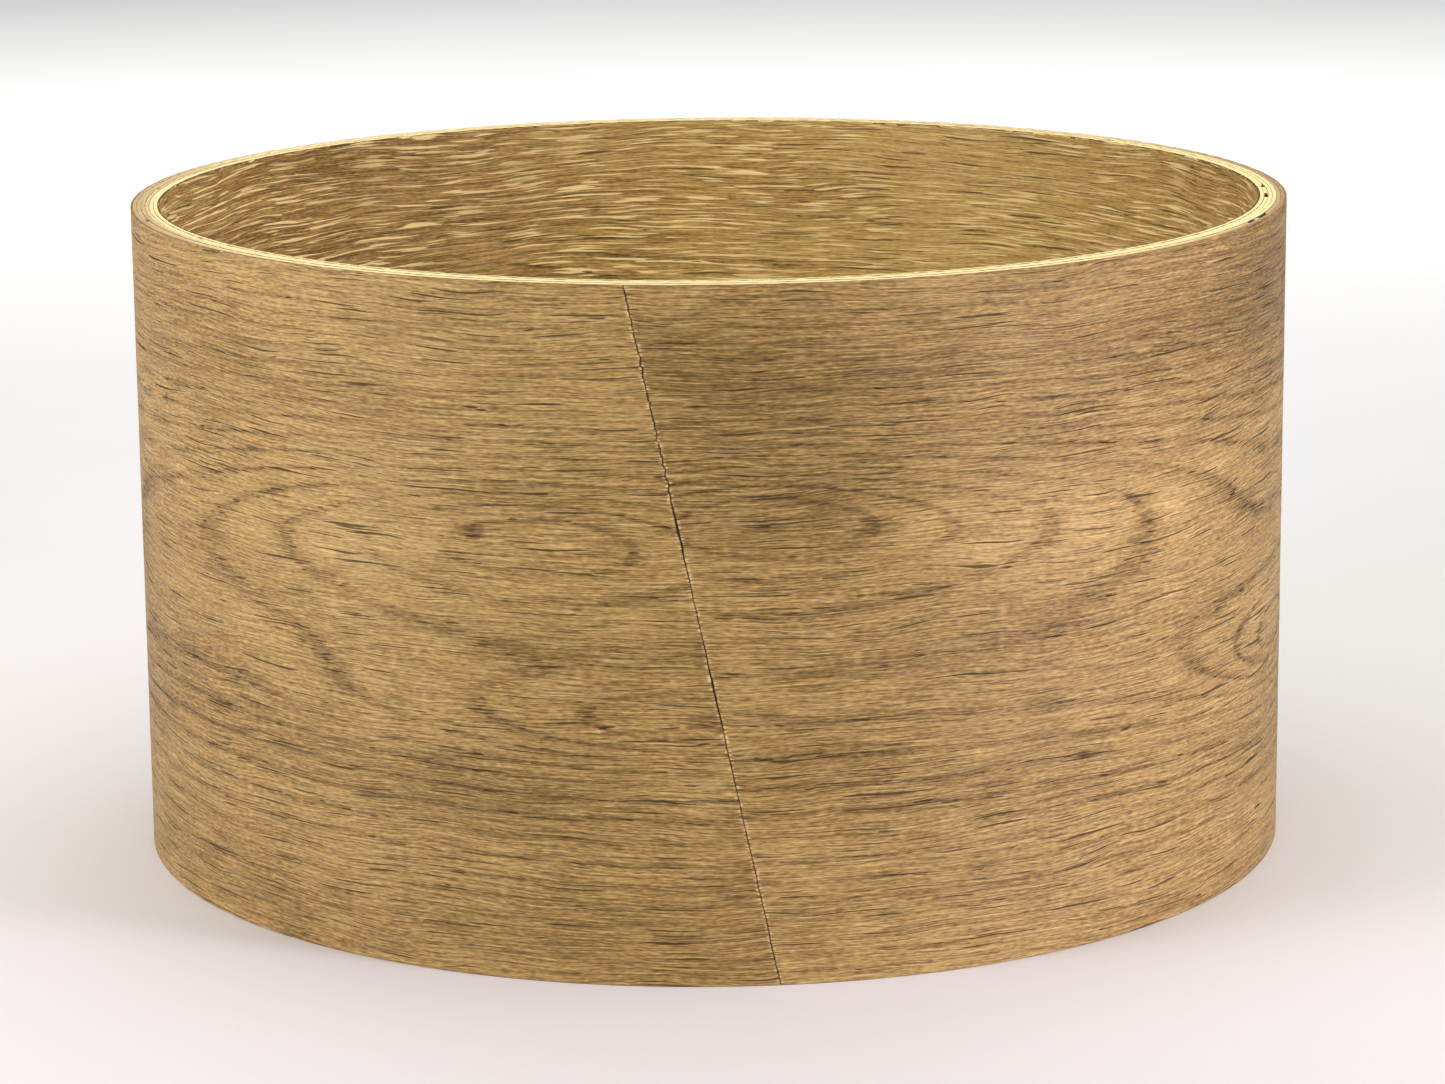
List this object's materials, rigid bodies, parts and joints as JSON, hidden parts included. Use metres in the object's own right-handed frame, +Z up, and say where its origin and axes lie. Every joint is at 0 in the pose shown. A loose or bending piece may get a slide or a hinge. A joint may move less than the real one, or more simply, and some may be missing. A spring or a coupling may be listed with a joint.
{
  "type": "drum shell",
  "caption": "Bare laminated wooden drum shell, an open round cylinder of rolled oak-faced veneer sheets with slanted butt seams and flat sawn rims.",
  "frame": {"origin": "centre of the lower rim's plane", "axes": "+Z up along the shell's axis, -Y towards the seam in the outer face"},
  "size_m": [0.355, 0.355, 0.2],
  "materials": {
    "outer_oak": "bare sanded oak veneer",
    "inner_oak": "bare unsanded oak veneer",
    "upright_core": "sawn end grain",
    "round_core": "sawn edge grain"
  },
  "bodies": {
    "root": {"outer_face_ply": "outer_oak", "core_ply_1": "upright_core", "core_ply_2": "round_core", "core_ply_3": "upright_core", "core_ply_4": "upright_core", "core_ply_5": "round_core", "core_ply_6": "upright_core", "inner_face_ply": "inner_oak"}
  },
  "joints": []
}
